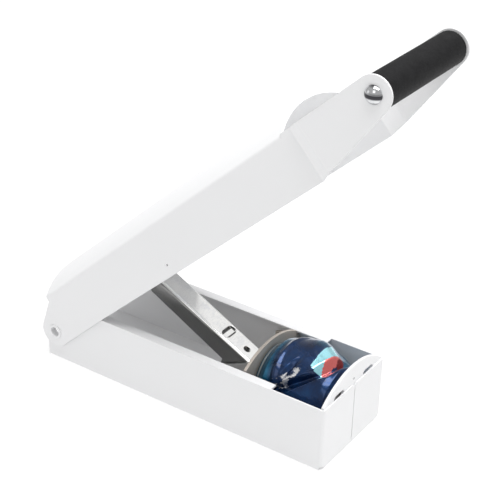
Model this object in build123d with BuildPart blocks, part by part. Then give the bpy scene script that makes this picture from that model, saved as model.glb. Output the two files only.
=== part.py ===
from build123d import *
import math
import os

os.makedirs("parts", exist_ok=True)

# ---------------------------------------------------------------- dimensions
# Row frame: origin at the middle of the base's underside, +X towards the
# anvil end, +Y across, +Z up out of the open side of the base. Millimetres.
base_length = 272.0
base_width = 90.0
base_height = 56.4
sheet = 1.5
base_bend = 3.0
rear_wall_height = 51.5
lip_rear_x = -88.0
lip_front_x = 88.4
lip_inner_y = 36.9
seam_gap = 0.7

wall_hole_d = 5.5
wall_hole_x = 104.0
wall_hole_y = 24.0

anvil_t = 2.4
anvil_half = 43.0
anvil_shoulder_z = 57.6
anvil_top_z = 73.0
anvil_slot_y = 21.5
anvil_slot_len = 15.0
anvil_slot_h = 7.0
anvil_slot_z = 56.0

# main pivot, lever and toggle link
pivot_x, pivot_z = -126.0, 28.0
lever_angle = 42.6          # lever above the base at rest
arm = 96.3                  # pivot to upper pin, and upper pin to lower pin
arm_angle = 38.0            # upper pin above the pivot at rest
eyelet_r = 5.6
eyelet_bore_r = 4.2
eyelet_head_r = 6.5
eyelet_head_t = 0.6
washer_r = 9.5
hinge_clear = 0.06

lever_in = 45.9             # half the inside width of the lever channel
lever_arch_r = 83.3
lever_arch_v = -40.1
lever_low_v = -12.5
lever_bend = 3.0
lever_lug_r = 13.6
arch_rear_u = 14.6
arch_front_u = 320.0
wing_out = 54.2
joggle_u0, joggle_u1 = 330.2, 342.6
wing_top_v = 30.4
wing_low_v = -9.9
grip_u, grip_v = 407.0, 17.1
wing_tip_r = 13.3
hang_hole_u, hang_hole_v = 158.6, -3.4
hang_hole_r = 0.95

rod_r = 4.0
grip_r = 12.3
cap_r = 6.5
cap_h = 4.8

link_half = 10.5
link_t = 2.0
pin_r = 3.0
ear_gap = 0.4
ear_t = 2.0
ear_r = 5.4
pin_head_r = 4.2
bracket_flange = 3.0
bracket_half = 20.0

ram_offset = 34.4           # lower pin to the ram's pressing face
ram_t = 2.4
ram_half = 41.4
ram_neck_half = 36.0
ram_neck_z = 52.6
ram_top_r = 68.0
ram_top_z = 67.2
ram_low_z = 2.6
ram_foot = 40.0

# ------------------------------------------------------------ derived points
th = math.radians(lever_angle)
ph = math.radians(arm_angle)
half = base_length / 2
ax_, az_ = pivot_x + arm * math.cos(ph), pivot_z + arm * math.sin(ph)
bx_, bz_ = pivot_x + 2 * arm * math.cos(ph), pivot_z
ram_x = bx_ + ram_offset
lever_out = lever_in + sheet


def lever_xz(u, v):
    return (
        pivot_x + u * math.cos(th) - v * math.sin(th),
        pivot_z + u * math.sin(th) + v * math.cos(th),
    )


# Side sketch plane: local x is X, local y is Z, and a positive extrusion
# goes towards -Y.
side = Plane(origin=(0, 0, 0), x_dir=(1, 0, 0), z_dir=(0, -1, 0))
# the lever's own side plane: local x along the lever, local y square to it
lever_side = Plane(
    origin=(pivot_x, 0, pivot_z),
    x_dir=(math.cos(th), 0, math.sin(th)),
    z_dir=(0, -1, 0),
)
# cross-section plane of the lever: local x is world +Y, local y square to the lever
lever_cross = Plane(
    origin=(pivot_x, 0, pivot_z),
    x_dir=(0, 1, 0),
    z_dir=(math.cos(th), 0, math.sin(th)),
)
# plan plane of the lever: local x along the lever, local y is world +Y
lever_plan = Plane(
    origin=(pivot_x, 0, pivot_z),
    x_dir=(math.cos(th), 0, math.sin(th)),
    z_dir=(-math.sin(th), 0, math.cos(th)),
)
cross = Plane(origin=(0, 0, 0), x_dir=(0, 1, 0), z_dir=(1, 0, 0))


def y_cylinder(x, z, r, y0, y1):
    """A cylinder along Y from y0 to y1."""
    with BuildPart(mode=Mode.PRIVATE) as c:
        with BuildSketch(side.offset(-y0)):
            with Locations((x, z)):
                Circle(r)
        extrude(amount=-(y1 - y0))
    return c.part


# -------------------------------------------------------------- base channel
# A folded U channel: floor, two side walls, lips turned in along the top of
# the walls, and two end flanges that meet at a seam in front of the anvil.
with BuildPart() as base_channel:
    with BuildSketch(Plane.XY):
        Rectangle(base_length, base_width)
    extrude(amount=base_height)
    fillet(
        base_channel.edges().filter_by(Axis.Z).group_by(Axis.X)[-1], base_bend
    )
    fillet(base_channel.edges().filter_by(Axis.X).group_by(Axis.Z)[0], base_bend)
    # hollow, open at the rear and on top
    with BuildSketch(Plane.XY.offset(sheet)):
        with Locations((-sheet, 0)):
            Rectangle(base_length, base_width - 2 * sheet)
    extrude(amount=base_height, mode=Mode.SUBTRACT)
    # lips along the tops of the side walls
    with BuildSketch(Plane.XY.offset(base_height - sheet)):
        for s in (1, -1):
            with Locations(
                (
                    (lip_rear_x + lip_front_x) / 2,
                    s * (lip_inner_y + base_width / 2 - sheet + 0.5) / 2,
                )
            ):
                Rectangle(
                    lip_front_x - lip_rear_x,
                    base_width / 2 - sheet + 0.5 - lip_inner_y,
                )
    extrude(amount=sheet)
    # the walls step down behind the lips, under the lever's cheeks
    with BuildSketch(side.offset(-base_width)):
        with BuildLine():
            Polyline(
                (-half - 1, rear_wall_height),
                (lip_rear_x - 8, rear_wall_height),
                (lip_rear_x - 2, base_height - 0.0),
                (lip_rear_x - 2, base_height + 1),
                (-half - 1, base_height + 1),
                close=True,
            )
        make_face()
    extrude(amount=2 * base_width, mode=Mode.SUBTRACT)
    # rounded lower rear corners of the walls
    fillet(
        base_channel.edges()
        .filter_by(Axis.Y)
        .filter_by(lambda e: abs(e.center().X + half) < 0.1 and e.center().Z > 40),
        8.0,
    )
    # seam in the end wall, flared at its top
    with BuildSketch(Plane.YZ.offset(half - sheet - 1)):
        with Locations((0, base_height / 2 + sheet / 2)):
            Rectangle(seam_gap, base_height - sheet)
        with BuildLine():
            Polyline(
                (-2.6, base_height + 0.1),
                (2.6, base_height + 0.1),
                (0, base_height - 3.4),
                close=True,
            )
        make_face()
    extrude(amount=sheet + 3, mode=Mode.SUBTRACT)
    # relief notches where the end flanges, walls and floor meet
    for s in (1, -1):
        with Locations((half - sheet / 2, s * (base_width / 2 - 2.2), sheet / 2)):
            Cylinder(2.0, 2 * sheet + 4, mode=Mode.SUBTRACT)
    # pivot holes
    add(
        y_cylinder(pivot_x, pivot_z, eyelet_r, -base_width, base_width),
        mode=Mode.SUBTRACT,
    )
    # wall-mounting holes in the floor
    with Locations(
        *[(x, y, sheet / 2) for x in (-wall_hole_x, wall_hole_x) for y in (-wall_hole_y, wall_hole_y)]
    ):
        Cylinder(wall_hole_d / 2, 3 * sheet, mode=Mode.SUBTRACT)
base_channel.part.label = "base_channel"
export_step(base_channel.part, "parts/base_channel.step")

# --------------------------------------------------------------- anvil plate
# Flat plate with an arched top, standing just behind the end flanges.
anvil_sag = anvil_top_z - anvil_shoulder_z
with BuildPart() as anvil_plate:
    with BuildSketch(Plane.YZ.offset(half - sheet - anvil_t)):
        with BuildLine():
            Polyline(
                (anvil_half, anvil_shoulder_z),
                (anvil_half, sheet + 0.2),
                (-anvil_half, sheet + 0.2),
                (-anvil_half, anvil_shoulder_z),
            )
            ThreePointArc(
                (-anvil_half, anvil_shoulder_z),
                (0, anvil_top_z),
                (anvil_half, anvil_shoulder_z),
            )
        make_face()
        with Locations((-anvil_slot_y, anvil_slot_z), (anvil_slot_y, anvil_slot_z)):
            SlotOverall(anvil_slot_len, anvil_slot_h, mode=Mode.SUBTRACT)
        with Locations((0, 60.5)):
            Circle(1.3, mode=Mode.SUBTRACT)
    extrude(amount=anvil_t)
    fillet(
        anvil_plate.edges().filter_by(GeomType.CIRCLE).filter_by(
            lambda e: e.length > 60
        ),
        0.6,
    )
anvil_plate.part.label = "anvil_plate"
export_step(anvil_plate.part, "parts/anvil_plate.step")


# ------------------------------------------------------------- pivot eyelets
# A hollow rivet through each base wall and lever cheek: outer flange, barrel,
# rolled inner flange.
def pivot_eyelet(s):
    y_in = s * (base_width / 2 - sheet)
    y_head = s * (lever_out + 0.08)
    with BuildPart() as p:
        add(y_cylinder(pivot_x, pivot_z, eyelet_r, *sorted((y_in - s * 1.2, y_head + s * eyelet_head_t))))
        add(y_cylinder(pivot_x, pivot_z, eyelet_head_r, *sorted((y_head, y_head + s * eyelet_head_t))))
        add(y_cylinder(pivot_x, pivot_z, eyelet_head_r - 0.4, *sorted((y_in - s * 1.2, y_in))))
        add(
            y_cylinder(pivot_x, pivot_z, eyelet_bore_r, *sorted((y_in - s * 4, y_head + s * 4))),
            mode=Mode.SUBTRACT,
        )
        ends = p.edges().filter_by(GeomType.CIRCLE).group_by(Axis.Y)
        outer = ends[-1] if s > 0 else ends[0]
        fillet(outer, 0.25)
    return p


pivot_eyelet_left = pivot_eyelet(1)
pivot_eyelet_left.part.label = "pivot_eyelet_left"
export_step(pivot_eyelet_left.part, "parts/pivot_eyelet_left.step")
pivot_eyelet_right = pivot_eyelet(-1)
pivot_eyelet_right.part.label = "pivot_eyelet_right"
export_step(pivot_eyelet_right.part, "parts/pivot_eyelet_right.step")


# ------------------------------------------------------------- pivot washers
# Thin spacer on each eyelet, between base wall and lever cheek.
def pivot_washer(s):
    y0, y1 = sorted((s * (base_width / 2), s * (lever_in - 0.08)))
    with BuildPart() as p:
        add(y_cylinder(pivot_x, pivot_z, washer_r, y0, y1))
        add(y_cylinder(pivot_x, pivot_z, eyelet_r, y0 - 1, y1 + 1), mode=Mode.SUBTRACT)
    return p


pivot_washer_left = pivot_washer(1)
pivot_washer_left.part.label = "pivot_washer_left"
export_step(pivot_washer_left.part, "parts/pivot_washer_left.step")
pivot_washer_right = pivot_washer(-1)
pivot_washer_right.part.label = "pivot_washer_right"
export_step(pivot_washer_right.part, "parts/pivot_washer_right.step")

# ------------------------------------------------------------- lever channel
# One pressing: crowned web, two flat cheeks with pivot lugs, and two wings
# set outwards by a joggle to hold the handle.
spring_v = lever_arch_v + math.sqrt(lever_arch_r**2 - lever_out**2)


def tangent_from(cx, cy, r, px, py, pick):
    """Where a line from (px, py) touches the circle; pick chooses of the two."""
    d = math.hypot(px - cx, py - cy)
    base = math.atan2(py - cy, px - cx)
    off = math.acos(r / d)
    found = [
        (cx + r * math.cos(a), cy + r * math.sin(a)) for a in (base + off, base - off)
    ]
    return min(found, key=pick)


cheek_top_v = spring_v - 4.5
lug_t = tangent_from(0, 0, lever_lug_r, arch_rear_u, cheek_top_v, lambda p: p[0])
tip_low = tangent_from(
    grip_u, grip_v, wing_tip_r, joggle_u1, wing_low_v, lambda p: p[1]
)
tip_top = (grip_u, grip_v + wing_tip_r)

with BuildPart() as cheek_mask:
    with BuildSketch(lever_side.offset(-wing_out - 5)):
        Circle(lever_lug_r)
        with BuildLine():
            Polyline(
                (0, -lever_lug_r),
                (60, lever_low_v),
                (joggle_u0, lever_low_v),
                (joggle_u1, wing_low_v),
                tip_low,
                (grip_u, grip_v),
                tip_top,
                (arch_front_u + 2, wing_top_v),
                (arch_front_u, wing_top_v - 0.6),
                (arch_front_u, cheek_top_v),
                (arch_rear_u, cheek_top_v),
                lug_t,
                (0, 0),
                close=True,
            )
        make_face()
        with Locations((grip_u, grip_v)):
            Circle(wing_tip_r)
        Circle(eyelet_r + hinge_clear, mode=Mode.SUBTRACT)
        with Locations((grip_u, grip_v)):
            Circle(rod_r, mode=Mode.SUBTRACT)
        with Locations((hang_hole_u, hang_hole_v)):
            Circle(hang_hole_r, mode=Mode.SUBTRACT)
    extrude(amount=2 * (wing_out + 5))

with BuildPart() as cheeks:
    with BuildSketch(lever_plan.offset(-60)):
        for s in (1, -1):
            with BuildLine():
                Polyline(
                    (-30, s * lever_out),
                    (joggle_u0, s * lever_out),
                    (joggle_u1, s * wing_out),
                    (grip_u + 30, s * wing_out),
                    (grip_u + 30, s * (wing_out - sheet)),
                    (joggle_u1 + 0.4, s * (wing_out - sheet)),
                    (joggle_u0 + 0.4, s * lever_in),
                    (-30, s * lever_in),
                    close=True,
                )
            make_face()
    extrude(amount=120)
    add(cheek_mask.part, mode=Mode.INTERSECT)

with BuildPart() as lever_channel:
    arch_in_r = lever_arch_r - sheet
    spring_in = lever_arch_v + math.sqrt(arch_in_r**2 - lever_in**2)
    with BuildSketch(lever_cross.offset(arch_rear_u)) as arch_section:
        with BuildLine():
            ThreePointArc(
                (-lever_out, spring_v),
                (0, lever_arch_v + lever_arch_r),
                (lever_out, spring_v),
            )
            Polyline(
                (lever_out, spring_v),
                (lever_out, cheek_top_v),
                (lever_in, cheek_top_v),
                (lever_in, spring_in),
            )
            ThreePointArc(
                (lever_in, spring_in),
                (0, lever_arch_v + arch_in_r),
                (-lever_in, spring_in),
            )
            Polyline(
                (-lever_in, spring_in),
                (-lever_in, cheek_top_v),
                (-lever_out, cheek_top_v),
                (-lever_out, spring_v),
            )
        make_face()
        fillet(
            [
                v
                for v in arch_section.vertices()
                if abs(abs(v.X) - lever_out) < 0.01 and abs(v.Y - spring_v) < 0.01
            ],
            lever_bend,
        )
        fillet(
            [
                v
                for v in arch_section.vertices()
                if abs(abs(v.X) - lever_in) < 0.01 and abs(v.Y - spring_in) < 0.01
            ],
            lever_bend - sheet,
        )
    extrude(amount=arch_front_u - arch_rear_u)
    add(cheeks.part)
lever_channel.part.label = "lever_channel"
export_step(lever_channel.part, "parts/lever_channel.step")

# -------------------------------------------------------------- link bracket
# U bracket under the lever's web; its ears straddle the top of the link.
ear_in = link_half + ear_gap
ear_out = ear_in + ear_t
dx, dz = ax_ - pivot_x, az_ - pivot_z
a_u = dx * math.cos(th) + dz * math.sin(th)
a_v = -dx * math.sin(th) + dz * math.cos(th)
web_under = lever_arch_v + math.sqrt(arch_in_r**2 - (ear_out + bracket_flange) ** 2)
with BuildPart() as link_bracket:
    # ears
    for s in (1, -1):
        with BuildSketch(lever_side.offset(-s * (ear_in + ear_t / 2) - ear_t / 2)):
            with BuildLine():
                l1 = tangent_from(a_u, a_v, ear_r, a_u - bracket_half, web_under - 2.2, lambda p: p[0])
                l2 = tangent_from(a_u, a_v, ear_r, a_u + bracket_half, web_under - 2.2, lambda p: -p[0])
                Polyline(
                    (a_u - bracket_half, web_under - 0.1),
                    (a_u - bracket_half, web_under - 2.2),
                    l1,
                    (a_u, a_v),
                    l2,
                    (a_u + bracket_half, web_under - 2.2),
                    (a_u + bracket_half, web_under - 0.1),
                    close=True,
                )
            make_face()
            with Locations((a_u, a_v)):
                Circle(ear_r)
                Circle(pin_r, mode=Mode.SUBTRACT)
        extrude(amount=ear_t)
    # base of the bracket, lying against the web
    with BuildSketch(lever_cross.offset(a_u - bracket_half)):
        with BuildLine():
            w = ear_out + bracket_flange
            zt = lever_arch_v + arch_in_r
            ThreePointArc((-w, web_under), (0, zt), (w, web_under))
            Polyline((w, web_under), (w, web_under - 2.0), (-w, web_under - 2.0), (-w, web_under))
        make_face()
    extrude(amount=2 * bracket_half)
link_bracket.part.label = "link_bracket"
export_step(link_bracket.part, "parts/link_bracket.step")

# -------------------------------------------------------------- link channel
# The plated toggle link: a tapered U channel with a lanced slot and a hole
# in its top face. (s, n) runs down the top face and square to it.
link_dir = math.radians(-26.4)
tx0, tz0 = 95.9 - 136.0, 87.8 + 0.16


def link_pt(s_, n_):
    return (
        tx0 + s_ * math.cos(link_dir) - n_ * math.sin(link_dir),
        tz0 + s_ * math.sin(link_dir) + n_ * math.cos(link_dir),
    )


def link_sn(x, z):
    vx, vz = x - tx0, z - tz0
    return (
        vx * math.cos(link_dir) + vz * math.sin(link_dir),
        -vx * math.sin(link_dir) + vz * math.cos(link_dir),
    )


as_, an_ = link_sn(ax_, az_)
bs_, bn_ = link_sn(bx_, bz_)
link_side = Plane(
    origin=(tx0, 0, tz0),
    x_dir=(math.cos(link_dir), 0, math.sin(link_dir)),
    z_dir=(0, -1, 0),
)
link_top = Plane(
    origin=(tx0, 0, tz0),
    x_dir=(math.cos(link_dir), 0, math.sin(link_dir)),
    z_dir=(-math.sin(link_dir), 0, math.cos(link_dir)),
)
link_low = tangent_from(bs_, bn_, 9.0, 75.5, -17.35, lambda p: p[0] + p[1])
with BuildPart() as link_channel:
    with BuildSketch(link_side.offset(-link_half)):
        with BuildLine():
            Polyline(
                (as_ - 8.0, 0.0),
                (94.7, 0.0),
                (101.7, -3.0),
                (101.7, -15.0),
                (bs_ + 8.2, bn_ + 3.6),
                (bs_, bn_),
                link_low,
                (75.5, -17.35),
                (-4.0, -15.3),
                (as_ - 2.0, an_ - 8.4),
                (as_ - 8.0, an_ - 3.0),
                close=True,
            )
        make_face()
        with Locations((bs_, bn_)):
            Circle(9.0)
    extrude(amount=2 * link_half)
    top_edges = [
        e
        for e in link_channel.edges()
        if e.length > 60 and abs(link_sn(e.center().X, e.center().Z)[1]) < 0.05
    ]
    fillet(top_edges, 2.6)
    # hollow from below and at both ends
    with BuildSketch(link_side.offset(-(link_half - link_t))):
        with BuildLine():
            Polyline(
                (as_ - 30.0, -link_t),
                (bs_ + 40.0, -link_t),
                (bs_ + 40.0, bn_ - 40.0),
                (as_ - 30.0, bn_ - 40.0),
                close=True,
            )
        make_face()
    extrude(amount=2 * (link_half - link_t), mode=Mode.SUBTRACT)
    # pin holes
    for s_, n_ in ((as_, an_), (bs_, bn_)):
        with BuildSketch(link_side.offset(-link_half - 5)):
            with Locations((s_, n_)):
                Circle(pin_r + hinge_clear)
        extrude(amount=2 * link_half + 10, mode=Mode.SUBTRACT)
    # lanced slot across the width, and a round hole, in the top face
    with BuildSketch(link_top.offset(-link_t - 1)):
        with Locations((65.8, 0)):
            SlotOverall(14.6, 8.0, rotation=90)
        with Locations((86.2, -0.8)):
            Circle(2.9)
    extrude(amount=link_t + 2, mode=Mode.SUBTRACT)
    # the lanced tab left across the slot, bent slightly down
    with BuildSketch(link_top.offset(-link_t - 0.4)):
        with Locations((66.4, -2.0)):
            Rectangle(4.2, 15.0)
    extrude(amount=link_t - 0.4)
link_channel.part.label = "link_channel"
export_step(link_channel.part, "parts/link_channel.step")


# ---------------------------------------------------------------- link pins
# Headed pin through both ears and the link, kept by a push-on clip.
def link_pin(x, z):
    y_end = ear_out + 1.9
    with BuildPart() as p:
        add(y_cylinder(x, z, pin_r, -ear_out, y_end))
        add(y_cylinder(x, z, pin_head_r, -ear_out - 1.4, -ear_out))
        fillet(p.edges().filter_by(GeomType.CIRCLE).group_by(Axis.Y)[0], 0.7)
        chamfer(p.edges().filter_by(GeomType.CIRCLE).group_by(Axis.Y)[-1], 0.5)
        # groove for the clip
        with BuildSketch(side.offset(-(ear_out + 0.3))):
            with Locations((x, z)):
                Circle(pin_r + 1)
                Circle(pin_r - 0.5, mode=Mode.SUBTRACT)
        extrude(amount=-0.9, mode=Mode.SUBTRACT)
    return p


def pin_clip(x, z, turn):
    with BuildPart() as p:
        with BuildSketch(side.offset(-(ear_out + 0.35))):
            with Locations((x, z)):
                Circle(pin_r + 1.6)
                Circle(pin_r - 0.5, mode=Mode.SUBTRACT)
            with Locations(
                (
                    x + (pin_r + 1.5) * math.cos(turn),
                    z + (pin_r + 1.5) * math.sin(turn),
                )
            ):
                Rectangle(2 * (pin_r + 1.5), 2 * (pin_r - 0.7), rotation=math.degrees(turn), mode=Mode.SUBTRACT)
        extrude(amount=-0.8)
    return p


upper_link_pin = link_pin(ax_, az_)
upper_link_pin.part.label = "upper_link_pin"
export_step(upper_link_pin.part, "parts/upper_link_pin.step")
upper_pin_clip = pin_clip(ax_, az_, math.radians(lever_angle - 90))
upper_pin_clip.part.label = "upper_pin_clip"
export_step(upper_pin_clip.part, "parts/upper_pin_clip.step")
lower_link_pin = link_pin(bx_, bz_)
lower_link_pin.part.label = "lower_link_pin"
export_step(lower_link_pin.part, "parts/lower_link_pin.step")
lower_pin_clip = pin_clip(bx_, bz_, math.radians(180))
lower_pin_clip.part.label = "lower_pin_clip"
export_step(lower_pin_clip.part, "parts/lower_pin_clip.step")

# ----------------------------------------------------------------- ram plate
# Pressing plate with an arched top that passes up between the lips, wide
# shoulders that run under them, and a foot turned back along the floor.
neck_arc_z = ram_top_z - ram_top_r + math.sqrt(ram_top_r**2 - ram_neck_half**2)
with BuildPart() as ram_plate:
    with BuildSketch(Plane.YZ.offset(ram_x - ram_t)):
        with BuildLine():
            Polyline(
                (ram_neck_half, neck_arc_z),
                (ram_neck_half, ram_neck_z),
                (ram_half, ram_neck_z),
                (ram_half, ram_low_z),
                (-ram_half, ram_low_z),
                (-ram_half, ram_neck_z),
                (-ram_neck_half, ram_neck_z),
                (-ram_neck_half, neck_arc_z),
            )
            ThreePointArc(
                (-ram_neck_half, neck_arc_z),
                (0, ram_top_z),
                (ram_neck_half, neck_arc_z),
            )
        make_face()
    extrude(amount=ram_t)
    # foot
    with BuildSketch(Plane.XY.offset(ram_low_z)):
        with Locations((ram_x - ram_foot / 2, 0)):
            Rectangle(ram_foot, 2 * (ram_half - 6))
    extrude(amount=ram_t)
    # side flanges turned back from the shoulders
    for y_top in (ram_half, -(ram_half - ram_t)):
        with BuildSketch(side.offset(-y_top)):
            with BuildLine():
                Polyline(
                    (ram_x, ram_low_z + 8),
                    (ram_x - 22, ram_low_z + 12),
                    (ram_x - 22, ram_neck_z - 6),
                    (ram_x, ram_neck_z),
                    close=True,
                )
            make_face()
        extrude(amount=ram_t)
    low = [
        e
        for e in ram_plate.edges().filter_by(Axis.Y)
        if abs(e.center().X - ram_x) < 0.05 and abs(e.center().Z - ram_low_z) < 0.05
    ]
    fillet(low, 1.8)
ram_plate.part.label = "ram_plate"
export_step(ram_plate.part, "parts/ram_plate.step")

# ---------------------------------------------------------------- ram clevis
# U bracket behind the ram plate; its ears straddle the foot of the link.
clevis_x = ram_x - ram_t
with BuildPart() as ram_clevis:
    for s in (1, -1):
        with BuildSketch(side.offset(-s * (ear_in + ear_t / 2) - ear_t / 2)):
            with BuildLine():
                Polyline(
                    (clevis_x, 17.0),
                    (clevis_x, 48.0),
                    (clevis_x - 8.0, 48.0),
                    (bx_, bz_ + 9.0),
                    (bx_, bz_ - 9.0),
                    (clevis_x - 8.0, 17.0),
                    close=True,
                )
            make_face()
            with Locations((bx_, bz_)):
                Circle(9.0)
                Circle(pin_r, mode=Mode.SUBTRACT)
        extrude(amount=ear_t)
    with BuildSketch(Plane.YZ.offset(clevis_x - 2.0)):
        with Locations((0, 32.5)):
            Rectangle(2 * ear_out + 20, 31.0)
        with Locations((-19, 22), (19, 22), (-19, 43), (19, 43)):
            Circle(2.0, mode=Mode.SUBTRACT)
    extrude(amount=2.0)
ram_clevis.part.label = "ram_clevis"
export_step(ram_clevis.part, "parts/ram_clevis.step")

# ---------------------------------------------------------------- ram rivets
# Four rivets: shank in the clevis, low dome behind it.
with BuildPart() as ram_rivets:
    for y in (-19, 19):
        for z in (22, 43):
            with BuildSketch(Plane(origin=(clevis_x, y, z), x_dir=(0, 1, 0), z_dir=(-1, 0, 0))):
                Circle(2.0)
            extrude(amount=2.0)
            with BuildSketch(Plane(origin=(clevis_x - 2.0, y, z), x_dir=(0, 1, 0), z_dir=(-1, 0, 0))):
                Circle(3.6)
            extrude(amount=1.6)
    fillet(ram_rivets.edges().filter_by(GeomType.CIRCLE).group_by(Axis.X)[0], 1.0)
ram_rivets.part.label = "ram_rivets"
export_step(ram_rivets.part, "parts/ram_rivets.step")

# -------------------------------------------------------------------- handle
gx, gz = lever_xz(grip_u, grip_v)
with BuildPart() as handle_rod:
    add(y_cylinder(gx, gz, rod_r, -(wing_out + 2.4), wing_out + 2.4))
    chamfer(handle_rod.edges().filter_by(GeomType.CIRCLE), 0.4)
handle_rod.part.label = "handle_rod"
export_step(handle_rod.part, "parts/handle_rod.step")

with BuildPart() as handle_grip:
    add(y_cylinder(gx, gz, grip_r, -(wing_out - sheet - 0.4), wing_out - sheet - 0.4))
    fillet(handle_grip.edges().filter_by(GeomType.CIRCLE), 2.0)
    add(y_cylinder(gx, gz, rod_r, -60, 60), mode=Mode.SUBTRACT)
handle_grip.part.label = "handle_grip"
export_step(handle_grip.part, "parts/handle_grip.step")


# Domed push-on cap over each end of the rod.
def handle_cap(s):
    y0 = wing_out
    with BuildPart() as p:
        add(y_cylinder(gx, gz, cap_r, *sorted((s * y0, s * (y0 + cap_h)))))
        dome_r = (cap_r**2 + (cap_h - 0.7) ** 2) / (2 * (cap_h - 0.7))
        with Locations((gx, s * (y0 + cap_h - dome_r), gz)):
            Sphere(dome_r, mode=Mode.INTERSECT)
        add(y_cylinder(gx, gz, rod_r, *sorted((s * (y0 - 1), s * (y0 + 2.4)))), mode=Mode.SUBTRACT)
    return p


handle_cap_left = handle_cap(1)
handle_cap_left.part.label = "handle_cap_left"
export_step(handle_cap_left.part, "parts/handle_cap_left.step")
handle_cap_right = handle_cap(-1)
handle_cap_right.part.label = "handle_cap_right"
export_step(handle_cap_right.part, "parts/handle_cap_right.step")
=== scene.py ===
import math
import random

import bmesh
import bpy
from mathutils import Matrix, Vector


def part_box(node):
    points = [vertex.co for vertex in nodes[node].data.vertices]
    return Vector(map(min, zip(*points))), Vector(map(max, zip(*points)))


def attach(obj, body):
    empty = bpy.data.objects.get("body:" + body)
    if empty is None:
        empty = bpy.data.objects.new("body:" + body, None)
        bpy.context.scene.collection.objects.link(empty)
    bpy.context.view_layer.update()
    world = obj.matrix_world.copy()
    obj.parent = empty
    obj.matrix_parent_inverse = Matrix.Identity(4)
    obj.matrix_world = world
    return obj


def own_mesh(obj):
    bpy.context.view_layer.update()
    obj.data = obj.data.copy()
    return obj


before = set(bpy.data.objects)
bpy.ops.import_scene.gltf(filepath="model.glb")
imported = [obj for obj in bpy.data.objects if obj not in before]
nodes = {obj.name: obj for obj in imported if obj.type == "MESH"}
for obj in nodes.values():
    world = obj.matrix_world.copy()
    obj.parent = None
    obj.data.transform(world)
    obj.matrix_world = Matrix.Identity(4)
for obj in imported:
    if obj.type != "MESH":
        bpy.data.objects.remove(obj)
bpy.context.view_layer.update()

random.seed(7)


# ------------------------------------------------------------------ node help
def new_material(name):
    m = bpy.data.materials.new(name)
    m.use_nodes = True
    t = m.node_tree
    t.nodes.clear()
    out = t.nodes.new("ShaderNodeOutputMaterial")
    b = t.nodes.new("ShaderNodeBsdfPrincipled")
    t.links.new(b.outputs["BSDF"], out.inputs["Surface"])
    return m, t, b


def node(t, kind, **values):
    n = t.nodes.new(kind)
    for k, v in values.items():
        if k in n.inputs:
            n.inputs[k].default_value = v
        else:
            setattr(n, k, v)
    return n


def coords(t, scale=(1, 1, 1), rotation=(0, 0, 0)):
    c = t.nodes.new("ShaderNodeTexCoord")
    m = t.nodes.new("ShaderNodeMapping")
    m.inputs["Scale"].default_value = scale
    m.inputs["Rotation"].default_value = rotation
    t.links.new(c.outputs["Object"], m.inputs["Vector"])
    return m.outputs["Vector"]


def noise(t, vec, scale, detail=2.0, rough=0.5):
    n = node(t, "ShaderNodeTexNoise", Scale=scale, Detail=detail, Roughness=rough)
    t.links.new(vec, n.inputs["Vector"])
    return n.outputs["Fac"]


def ramp(t, fac, stops):
    r = t.nodes.new("ShaderNodeValToRGB")
    e = r.color_ramp.elements
    while len(e) > 1:
        e.remove(e[-1])
    e[0].position, e[0].color = stops[0][0], (*stops[0][1], 1)
    for p, c in stops[1:]:
        k = e.new(p)
        k.color = (*c, 1)
    t.links.new(fac, r.inputs["Fac"])
    return r.outputs["Color"]


def grey_ramp(t, fac, stops):
    return ramp(t, fac, [(p, (v, v, v)) for p, v in stops])


def bevel(t, radius, samples=6):
    n = t.nodes.new("ShaderNodeBevel")
    n.samples = samples
    n.inputs["Radius"].default_value = radius
    return n.outputs["Normal"]


def bump(t, height, distance, strength=1.0, normal=None):
    n = node(t, "ShaderNodeBump", Strength=strength, Distance=distance)
    t.links.new(height, n.inputs["Height"])
    if normal is not None:
        t.links.new(normal, n.inputs["Normal"])
    return n.outputs["Normal"]


def edge_mask(t, radius, low, high):
    """1 along sharp edges: how far the rounded normal leaves the face's own."""
    g = t.nodes.new("ShaderNodeNewGeometry")
    d = t.nodes.new("ShaderNodeVectorMath")
    d.operation = "DOT_PRODUCT"
    t.links.new(bevel(t, radius), d.inputs[0])
    t.links.new(g.outputs["Normal"], d.inputs[1])
    return grey_ramp(t, d.outputs["Value"], [(low, 1.0), (high, 0.0)])


# ------------------------------------------------------------------ materials
def powder_coat(name, tone=(0.86, 0.862, 0.87), rough=0.42):
    """Satin white powder coat: fine orange peel, slight thickness mottling."""
    m, t, b = new_material(name)
    v = coords(t)
    big = noise(t, v, 9.0, 3.0)
    col = ramp(
        t,
        big,
        [
            (0.3, tuple(c * 0.985 for c in tone)),
            (0.7, tone),
        ],
    )
    # painted highlight: sharp edges are lightened towards 0.96, broken up by noise, standing for light caught on the
    # rounded edges
    edges = edge_mask(t, 0.0008, 0.80, 0.97)
    edge_highlight_breakup = noise(t, v, 55.0, 5.0, 0.7)
    mix = node(t, "ShaderNodeMath", operation="MULTIPLY")
    t.links.new(edges, mix.inputs[0])
    t.links.new(grey_ramp(t, edge_highlight_breakup, [(0.35, 0.35), (0.62, 0.8)]), mix.inputs[1])
    painted_edge_highlight = t.nodes.new("ShaderNodeMix")
    painted_edge_highlight.data_type = "RGBA"
    t.links.new(mix.outputs[0], painted_edge_highlight.inputs["Factor"])
    t.links.new(col, painted_edge_highlight.inputs[6])
    painted_edge_highlight.inputs[7].default_value = (0.96, 0.96, 0.965, 1)
    t.links.new(painted_edge_highlight.outputs[2], b.inputs["Base Color"])
    rr = grey_ramp(t, noise(t, v, 24.0, 4.0), [(0.3, rough - 0.05), (0.7, rough + 0.07)])
    t.links.new(rr, b.inputs["Roughness"])
    b.inputs["Specular IOR Level"].default_value = 0.45
    peel = noise(t, v, 520.0, 2.0, 0.5)
    t.links.new(bump(t, peel, 0.00006, 0.55, bevel(t, 0.0007)), b.inputs["Normal"])
    return m


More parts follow.
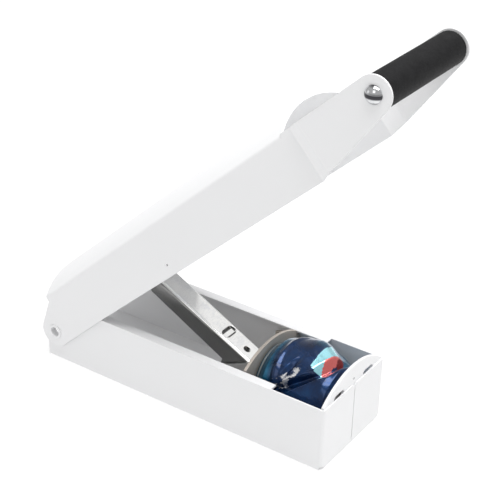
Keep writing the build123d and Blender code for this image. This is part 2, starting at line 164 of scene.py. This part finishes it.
def zinc(name, angle=0.0, base=0.80, shine=0.30, flange_shade=1.0, warm=1.0, metal=1.0):
    """Bright zinc over rolled steel: faint mottled spangle and roll lines."""
    m, t, b = new_material(name)
    v = coords(t)
    vl = coords(t, (6, 60, 420), (0, math.radians(angle), 0))
    cloud = noise(t, v, 60.0, 4.0, 0.6)
    lines = noise(t, vl, 4.0, 3.0, 0.6)
    mixed = node(t, "ShaderNodeMath", operation="MULTIPLY_ADD")
    t.links.new(lines, mixed.inputs[0])
    mixed.inputs[1].default_value = 0.45
    t.links.new(cloud, mixed.inputs[2])
    col = ramp(
        t,
        mixed.outputs[0],
        [
            (0.45, (base * 0.88, base * 0.885 * warm**0.5, base * 0.90 * warm)),
            (0.72, (base, base * warm**0.5, base * 0.99 * warm)),
            (0.95, (base * 1.06, base * 1.06 * warm**0.5, base * 1.04 * warm)),
        ],
    )
    if flange_shade < 1.0:
        # painted shade: faces turned to ±Y (the drawn flanges) get a darker, greyer colour that stands for the dark
        # interior they reflect; the flat top keeps the bright plate
        g = t.nodes.new("ShaderNodeTexCoord")
        sep = t.nodes.new("ShaderNodeSeparateXYZ")
        t.links.new(g.outputs["Normal"], sep.inputs[0])
        ab = node(t, "ShaderNodeMath", operation="ABSOLUTE")
        t.links.new(sep.outputs["Y"], ab.inputs[0])
        painted_flange_shade = t.nodes.new("ShaderNodeMix")
        painted_flange_shade.data_type = "RGBA"
        t.links.new(grey_ramp(t, ab.outputs[0], [(0.75, 0.0), (0.95, 1.0)]), painted_flange_shade.inputs["Factor"])
        t.links.new(col, painted_flange_shade.inputs[6])
        painted_flange_shade.inputs[7].default_value = (base * flange_shade, base * flange_shade, base * flange_shade * 0.98, 1)
        col = painted_flange_shade.outputs[2]
    t.links.new(col, b.inputs["Base Color"])
    b.inputs["Metallic"].default_value = metal
    t.links.new(
        grey_ramp(t, mixed.outputs[0], [(0.4, shine + 0.10), (0.9, shine - 0.03)]), b.inputs["Roughness"]
    )
    t.links.new(bump(t, lines, 0.00004, 0.5, bevel(t, 0.0006)), b.inputs["Normal"])
    return m


def plain_steel(name, base=0.62, rough=0.28):
    m, t, b = new_material(name)
    v = coords(t)
    n = noise(t, v, 180.0, 3.0)
    t.links.new(
        ramp(t, n, [(0.3, (base * 0.9,) * 3), (0.7, (base,) * 3)]), b.inputs["Base Color"]
    )
    b.inputs["Metallic"].default_value = 1.0
    t.links.new(grey_ramp(t, n, [(0.3, rough + 0.08), (0.7, rough)]), b.inputs["Roughness"])
    t.links.new(bump(t, n, 0.00003, 0.4, bevel(t, 0.0003)), b.inputs["Normal"])
    return m


def polished(name):
    """Bright plate with a painted reflection: dark bands round the middle of the dome and at its foot, picked by which
    way the surface faces.
    """
    m, t, b = new_material(name)
    v = coords(t)
    g = t.nodes.new("ShaderNodeTexCoord")
    sep = t.nodes.new("ShaderNodeSeparateXYZ")
    t.links.new(g.outputs["Normal"], sep.inputs[0])
    # painted reflection: the up/down facing of the normal picks dark bands that stand for the dark surroundings
    # mirrored in the dome
    half = node(t, "ShaderNodeMath", operation="MULTIPLY_ADD")
    t.links.new(sep.outputs["Z"], half.inputs[0])
    half.inputs[1].default_value = 0.5
    half.inputs[2].default_value = 0.5
    painted_reflection_band = grey_ramp(
        t,
        half.outputs[0],
        [(0.06, 1.0), (0.20, 0.15), (0.32, 0.2), (0.40, 1.0), (0.54, 1.0), (0.66, 0.1), (0.84, 0.1), (0.95, 1.0)],
    )
    painted_reflection_mix = t.nodes.new("ShaderNodeMix")
    painted_reflection_mix.data_type = "RGBA"
    t.links.new(painted_reflection_band, painted_reflection_mix.inputs["Factor"])
    painted_reflection_mix.inputs[7].default_value = (0.05, 0.05, 0.055, 1)
    n = noise(t, v, 350.0, 3.0)
    t.links.new(
        ramp(t, n, [(0.3, (0.80, 0.81, 0.83)), (0.7, (0.88, 0.89, 0.90))]),
        painted_reflection_mix.inputs[6],
    )
    t.links.new(painted_reflection_mix.outputs[2], b.inputs["Base Color"])
    b.inputs["Metallic"].default_value = 1.0
    t.links.new(grey_ramp(t, n, [(0.35, 0.10), (0.75, 0.05)]), b.inputs["Roughness"])
    t.links.new(bump(t, n, 0.00001, 0.3), b.inputs["Normal"])
    return m


def nylon(name):
    m, t, b = new_material(name)
    v = coords(t)
    n = noise(t, v, 260.0, 2.0)
    t.links.new(
        ramp(t, n, [(0.3, (0.74, 0.74, 0.71)), (0.7, (0.80, 0.80, 0.77))]),
        b.inputs["Base Color"],
    )
    b.inputs["Roughness"].default_value = 0.5
    b.inputs["Subsurface Weight"].default_value = 0.1
    b.inputs["Subsurface Radius"].default_value = (0.001, 0.001, 0.001)
    t.links.new(bump(t, n, 0.00003, 0.5), b.inputs["Normal"])
    return m


def foam(name):
    """Closed-cell foam grip: fine open pores and a soft sheen."""
    m, t, b = new_material(name)
    v = coords(t)
    cells = node(t, "ShaderNodeTexVoronoi", Scale=1150.0)
    t.links.new(v, cells.inputs["Vector"])
    soft = noise(t, v, 140.0, 4.0, 0.6)
    t.links.new(
        ramp(t, soft, [(0.25, (0.006, 0.006, 0.0065)), (0.75, (0.012, 0.012, 0.013))]),
        b.inputs["Base Color"],
    )
    t.links.new(
        grey_ramp(t, cells.outputs["Distance"], [(0.0, 0.80), (0.6, 0.62)]),
        b.inputs["Roughness"],
    )
    b.inputs["Specular IOR Level"].default_value = 0.13
    b.inputs["Sheen Weight"].default_value = 0.02
    b.inputs["Sheen Roughness"].default_value = 0.4
    first = bump(t, cells.outputs["Distance"], 0.00018, 0.8)
    t.links.new(bump(t, soft, 0.0004, 0.5, first), b.inputs["Normal"])
    return m


white = powder_coat("white_enamel_coat")
white_rivet = powder_coat("white_rivet_coat", (0.84, 0.842, 0.85), 0.36)
# its last value darkens the link's side flanges as painted shade
link_zinc = zinc("zinc_link", -26.4, 0.88, 0.17, 0.30)
ram_zinc = zinc("zinc_ram", 0.0, 0.54, 0.50, 1.0, 0.82, 0.35)
bracket_zinc = zinc("zinc_bracket", 42.6, 0.74)
clevis_zinc = zinc("zinc_clevis", 0.0, 0.72)
pin_steel = plain_steel("bright_pin_steel")
clip_steel = plain_steel("spring_clip_steel", 0.34, 0.34)
cap_chrome = polished("polished_cap")
washer_nylon = nylon("washer_nylon")
grip_foam = foam("black_foam_grip")

wanted = {
    "base_channel": white,
    "anvil_plate": white,
    "lever_channel": white,
    "ram_plate": ram_zinc,
    "pivot_eyelet_left": white_rivet,
    "pivot_eyelet_right": white_rivet,
    "pivot_washer_left": washer_nylon,
    "pivot_washer_right": washer_nylon,
    "link_bracket": bracket_zinc,
    "link_channel": link_zinc,
    "ram_clevis": clevis_zinc,
    "upper_link_pin": pin_steel,
    "lower_link_pin": pin_steel,
    "ram_rivets": pin_steel,
    "handle_rod": pin_steel,
    "upper_pin_clip": clip_steel,
    "lower_pin_clip": clip_steel,
    "handle_grip": grip_foam,
    "handle_cap_left": cap_chrome,
    "handle_cap_right": cap_chrome,
}
for name, mat in wanted.items():
    o = nodes[name]
    if not o.material_slots:
        o.data.materials.append(mat)
    for s in o.material_slots:
        s.material = mat

# ---------------------------------------------------------------- crushed can
# The can being crushed: a thin printed tube between ram and anvil, buckled
# into folded facets. It isn't a piece of the crusher.


def can_paint(name):
    m, t, b = new_material(name)
    at = t.nodes.new("ShaderNodeAttribute")
    at.attribute_name = "print"
    v = coords(t)
    mott = noise(t, v, 90.0, 3.0)
    blue = ramp(
        t,
        mott,
        [(0.3, (0.002, 0.013, 0.055)), (0.6, (0.003, 0.036, 0.13)), (0.8, (0.005, 0.075, 0.22))],
    )
    mx = t.nodes.new("ShaderNodeMix")
    mx.data_type = "RGBA"
    sep = t.nodes.new("ShaderNodeSeparateColor")
    t.links.new(at.outputs["Color"], sep.inputs["Color"])
    t.links.new(sep.outputs["Red"], mx.inputs["Factor"])
    t.links.new(blue, mx.inputs[6])
    mx.inputs[7].default_value = (0.006, 0.15, 0.27, 1)
    mx2 = t.nodes.new("ShaderNodeMix")
    mx2.data_type = "RGBA"
    t.links.new(sep.outputs["Green"], mx2.inputs["Factor"])
    t.links.new(mx.outputs[2], mx2.inputs[6])
    mx2.inputs[7].default_value = (0.42, 0.86, 0.95, 1)
    mx3 = t.nodes.new("ShaderNodeMix")
    mx3.data_type = "RGBA"
    t.links.new(sep.outputs["Blue"], mx3.inputs["Factor"])
    t.links.new(mx2.outputs[2], mx3.inputs[6])
    mx3.inputs[7].default_value = (0.70, 0.66, 0.58, 1)
    at2 = t.nodes.new("ShaderNodeAttribute")
    at2.attribute_name = "stripe"
    sep2 = t.nodes.new("ShaderNodeSeparateColor")
    t.links.new(at2.outputs["Color"], sep2.inputs["Color"])
    mx4 = t.nodes.new("ShaderNodeMix")
    mx4.data_type = "RGBA"
    t.links.new(sep2.outputs["Red"], mx4.inputs["Factor"])
    t.links.new(mx3.outputs[2], mx4.inputs[6])
    reds = t.nodes.new("ShaderNodeMix")
    reds.data_type = "RGBA"
    t.links.new(sep2.outputs["Blue"], reds.inputs["Factor"])
    reds.inputs[6].default_value = (0.80, 0.17, 0.16, 1)
    reds.inputs[7].default_value = (0.22, 0.004, 0.008, 1)
    t.links.new(reds.outputs[2], mx4.inputs[7])
    # where the wall is folded hardest the print has cracked off
    cracks = noise(t, v, 75.0, 5.0, 0.65)
    bare = node(t, "ShaderNodeMath", operation="MULTIPLY")
    t.links.new(sep2.outputs["Green"], bare.inputs[0])
    t.links.new(grey_ramp(t, cracks, [(0.50, 0.0), (0.53, 1.0)]), bare.inputs[1])
    mx5 = t.nodes.new("ShaderNodeMix")
    mx5.data_type = "RGBA"
    t.links.new(bare.outputs[0], mx5.inputs["Factor"])
    t.links.new(mx4.outputs[2], mx5.inputs[6])
    mx5.inputs[7].default_value = (0.82, 0.82, 0.83, 1)
    t.links.new(mx5.outputs[2], b.inputs["Base Color"])
    b.inputs["Metallic"].default_value = 0.75
    t.links.new(grey_ramp(t, mott, [(0.3, 0.28), (0.8, 0.18)]), b.inputs["Roughness"])
    b.inputs["Coat Weight"].default_value = 0.6
    b.inputs["Coat Roughness"].default_value = 0.08
    wr = noise(t, v, 260.0, 4.0, 0.65)
    t.links.new(bump(t, wr, 0.0003, 0.22), b.inputs["Normal"])
    return m


ram_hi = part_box("ram_plate")[1]
anvil_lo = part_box("anvil_plate")[0]
x0, x1 = ram_hi[0] + 0.0004, anvil_lo[0] - 0.0004
length = x1 - x0
axis_z = 0.0349
N = 180

# the crest of the buckled wall, as a radius at places along the can
crest = [
    (0.000, 0.0236), (0.012, 0.0268), (0.030, 0.0274), (0.046, 0.0268),
    (0.080, 0.0300), (0.120, 0.0334), (0.235, 0.0368), (0.320, 0.0383),
    (0.416, 0.0394), (0.480, 0.0397), (0.533, 0.0392), (0.577, 0.0382),
    (0.626, 0.0366), (0.672, 0.0351), (0.719, 0.0337), (0.769, 0.0316),
    (0.820, 0.0296), (0.900, 0.0292), (0.945, 0.0280), (0.964, 0.0266),
    (0.980, 0.0274), (0.994, 0.0270), (1.000, 0.0240),
]
# the same along the side towards -Y, and round the rest of the can
flank = [
    (0.000, 0.0236), (0.012, 0.0268), (0.030, 0.0274), (0.046, 0.0268),
    (0.080, 0.0294), (0.130, 0.0322), (0.235, 0.0336), (0.400, 0.0338),
    (0.550, 0.0338), (0.700, 0.0342), (0.830, 0.0342), (0.900, 0.0330),
    (0.945, 0.0290), (0.964, 0.0268), (0.980, 0.0274), (0.994, 0.0270),
    (1.000, 0.0240),
]


# printed shapes on the wall, as (along 0..1, degrees round) corners
pale_patch = [(0.600, 31.0), (0.735, 23.0), (0.690, -4.0), (0.735, -25.0), (0.690, -27.0), (0.605, -22.0), (0.590, 5.0)]
coral_patch = [(0.735, 23.0), (0.800, 18.0), (0.780, -6.0), (0.750, -26.0), (0.735, -25.0), (0.690, -4.0)]
deep_red_patch = [(0.735, 26.0), (0.80, 26.0), (0.885, 10.0), (0.860, 2.0), (0.790, 6.0)]
crack_patch = [(0.25, -56.0), (0.33, -50.0), (0.46, -28.0), (0.52, -30.0), (0.50, -40.0), (0.43, -62.0), (0.33, -68.0)]


def inside(shape, s, a):
    hit = False
    for (s0, a0), (s1, a1) in zip(shape, shape[1:] + shape[:1]):
        if (a0 > a) != (a1 > a) and s < s0 + (a - a0) / (a1 - a0) * (s1 - s0):
            hit = not hit
    return 1.0 if hit else 0.0


def along(table, s):
    for (s0, r0), (s1, r1) in zip(table, table[1:]):
        if s <= s1:
            f = (s - s0) / (s1 - s0)
            return r0 + f * (r1 - r0)
    return table[-1][1]


def ridge(d, width):
    """1 on the line, falling straight to 0 at one width from it."""
    return max(0.0, 1.0 - abs(d) / width)


def wall_radius(s, a):
    """Radius of the buckled wall at s (0..1 along) and a degrees (0 is up, + is +Y)."""
    w = math.exp(-(((a - 34.0) / 42.0) ** 2))
    r = along(flank, s) * (1 - w) + along(crest, s) * w
    body = min(1.0, max(0.0, (s - 0.10) / 0.12)) * min(1.0, max(0.0, (0.93 - s) / 0.10))
    # the deep diagonal fold
    line = 0.42 + (a + 61.0) / 35.0 * 0.315 if a < -26.0 else 0.735 + (a + 26.0) / 43.0 * 0.12
    depth = 0.0062 * min(1.0, max(0.0, (a + 95.0) / 35.0)) * min(1.0, max(0.0, (40.0 - a) / 24.0))
    r -= body * depth * ridge(s - line, 0.10)
    # a crease running from it over the crest, and one down the near side
    line = 0.215 + 0.05 * abs(a + 20.0) / 35.0
    r += body * 0.0012 * ridge(s - line, 0.05) * min(1.0, max(0.0, (75.0 - abs(a + 15.0)) / 40.0))
    line = 0.33 + (a + 60.0) / 50.0 * 0.14
    r -= body * 0.0020 * ridge(s - line, 0.05) * min(1.0, max(0.0, (45.0 - abs(a + 50.0)) / 25.0))
    # flat panels round the rest
    turn = ((a + 200.0 + 80.0 * s) % 45.0) / 45.0
    r -= body * 0.0009 * (1 - abs(2 * turn - 1))
    # the clamp onto the floor of the base is applied where the rings are built
    return r


marks = sorted({p for p, _ in crest} | {p for p, _ in flank} | {i / 110 for i in range(8, 106)})
marks = [m for i, m in enumerate(marks) if i == 0 or m - marks[i - 1] > 0.004]

mesh = bpy.data.meshes.new("crushed_can")
bm = bmesh.new()
col = bm.loops.layers.color.new("print")
col2 = bm.loops.layers.color.new("stripe")
ring_verts = []
for s_ in marks:
    row = []
    for k in range(N):
        a = 360.0 * k / N
        a = a - 360.0 if a > 180.0 else a
        rr = wall_radius(s_, a)
        t_ = math.radians(a)
        z = max(0.0019, axis_z + rr * math.cos(t_))
        row.append(bm.verts.new((x0 + s_ * length, rr * math.sin(t_), z)))
    ring_verts.append(row)
for i in range(len(marks) - 1):
    for k in range(N):
        f = bm.faces.new(
            (
                ring_verts[i][k],
                ring_verts[i][(k + 1) % N],
                ring_verts[i + 1][(k + 1) % N],
                ring_verts[i + 1][k],
            )
        )
        f.smooth = True
        s_ = (marks[i] + marks[i + 1]) / 2
        a = 360.0 * (k + 0.5) / N
        a = a - 360.0 if a > 180.0 else a
        first = 0.215 + 0.05 * abs(a + 20.0) / 35.0
        teal = 0.9 if s_ < first - 0.10 else 0.9 * max(0.0, (first - s_) / 0.10)
        teal = max(teal, 0.8 * min(1.0, max(0.0, (s_ - 0.40) / 0.06)) * min(1.0, max(0.0, (a - 8.0) / 14.0)))
        pale = inside(pale_patch, s_, a)
        coral = inside(coral_patch, s_, a) * (1 - pale)
        deep = inside(deep_red_patch, s_, a)
        bare = 0.75 if 0.024 < s_ < 0.048 or s_ > 0.955 else 0.0
        crack = inside(crack_patch, s_, a)
        for loop in f.loops:
            loop[col] = (teal, pale, bare, 1.0)
            loop[col2] = (max(coral, deep), crack, deep, 1.0)
# dished ends
for row, x_in, r_in in ((ring_verts[0], x0 + 0.006, 0.020), (ring_verts[-1], x1 - 0.004, 0.0222)):
    inner = []
    for k in range(N):
        t_ = 2 * math.pi * k / N
        inner.append(bm.verts.new((x_in, r_in * math.sin(t_), axis_z + r_in * math.cos(t_))))
    centre = bm.verts.new((x_in + (0.002 if row is ring_verts[0] else 0), 0, axis_z))
    for k in range(N):
        k2 = (k + 1) % N
        for vs in ((row[k], row[k2], inner[k2], inner[k]), (inner[k], inner[k2], centre)):
            f = bm.faces.new(vs)
            f.smooth = True
            for loop in f.loops:
                loop[col] = (0, 0, 1, 1)
                loop[col2] = (0, 0, 0, 1)
bmesh.ops.recalc_face_normals(bm, faces=bm.faces)
bm.to_mesh(mesh)
bm.free()
can = bpy.data.objects.new("crushed_can", mesh)
bpy.context.collection.objects.link(can)
mesh.materials.append(can_paint("can_print"))
sub = can.modifiers.new("smooth", "SUBSURF")
sub.levels = sub.render_levels = 1
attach(can, "base")
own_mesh(can)

# --------------------------------------------------------------------- stage
floor_me = bpy.data.meshes.new("floor")
floor_me.from_pydata([(-6, -6, 0), (6, -6, 0), (6, 6, 0), (-6, 6, 0)], [], [(0, 1, 2, 3)])
floor = bpy.data.objects.new("floor", floor_me)
bpy.context.collection.objects.link(floor)
floor.location = (0, 0, -0.0002)
fm, ft, fb = new_material("floor_pale")
fb.inputs["Base Color"].default_value = (0.32, 0.32, 0.32, 1)
fb.inputs["Roughness"].default_value = 0.9
fb.inputs["Specular IOR Level"].default_value = 0.0
fb.inputs["Emission Color"].default_value = (1, 1, 1, 1)
fb.inputs["Emission Strength"].default_value = 0.76
floor_me.materials.append(fm)

world = bpy.data.worlds.new("studio")
bpy.context.scene.world = world
world.use_nodes = True
wt = world.node_tree
bg = wt.nodes["Background"]
bg.inputs["Color"].default_value = (1, 1, 1, 1)
bg.inputs["Strength"].default_value = 0.48


def area(name, loc, target, size, power, size_y=None):
    l = bpy.data.lights.new(name, "AREA")
    l.energy = power
    l.size = size
    if size_y:
        l.shape = "RECTANGLE"
        l.size_y = size_y
    o = bpy.data.objects.new(name, l)
    o.location = loc
    d = Vector(target) - Vector(loc)
    o.rotation_euler = d.to_track_quat("-Z", "Y").to_euler()
    bpy.context.collection.objects.link(o)
    return o


area("top_soft", (0.32, 0.1, 1.65), (0, 0, 0.1), 1.3, 30.0)
area("far_side", (0.18, 1.05, 1.05), (0, 0, 0.06), 0.7, 0.7)
area("near_side", (0.35, -1.3, 1.25), (0.0, 0, 0.05), 0.7, 1.6)
area("rear_side", (-1.2, -0.9, 0.6), (0.0, 0, 0.15), 0.7, 0.7)

# -------------------------------------------------------------------- camera
cam_data = bpy.data.cameras.new("camera")
cam = bpy.data.objects.new("camera", cam_data)
bpy.context.collection.objects.link(cam)
right = Vector((0.8191564, 0.5732753, 0.0183925))
up = Vector((-0.2907616, 0.3874027, 0.8748582))
back = Vector((0.4944093, -0.7219934, 0.4840299))
place = Vector((0.526390, -0.737221, 0.629396))
cam.matrix_world = Matrix(
    (
        (right.x, up.x, back.x, place.x),
        (right.y, up.y, back.y, place.y),
        (right.z, up.z, back.z, place.z),
        (0, 0, 0, 1),
    )
)
cam_data.sensor_width = 36.0
cam_data.lens = 95.174
cam_data.shift_x = 0.03273
cam_data.shift_y = -0.00162
cam_data.clip_start = 0.01
cam_data.clip_end = 50.0
bpy.context.scene.camera = cam
bpy.context.scene.view_settings.view_transform = "Standard"
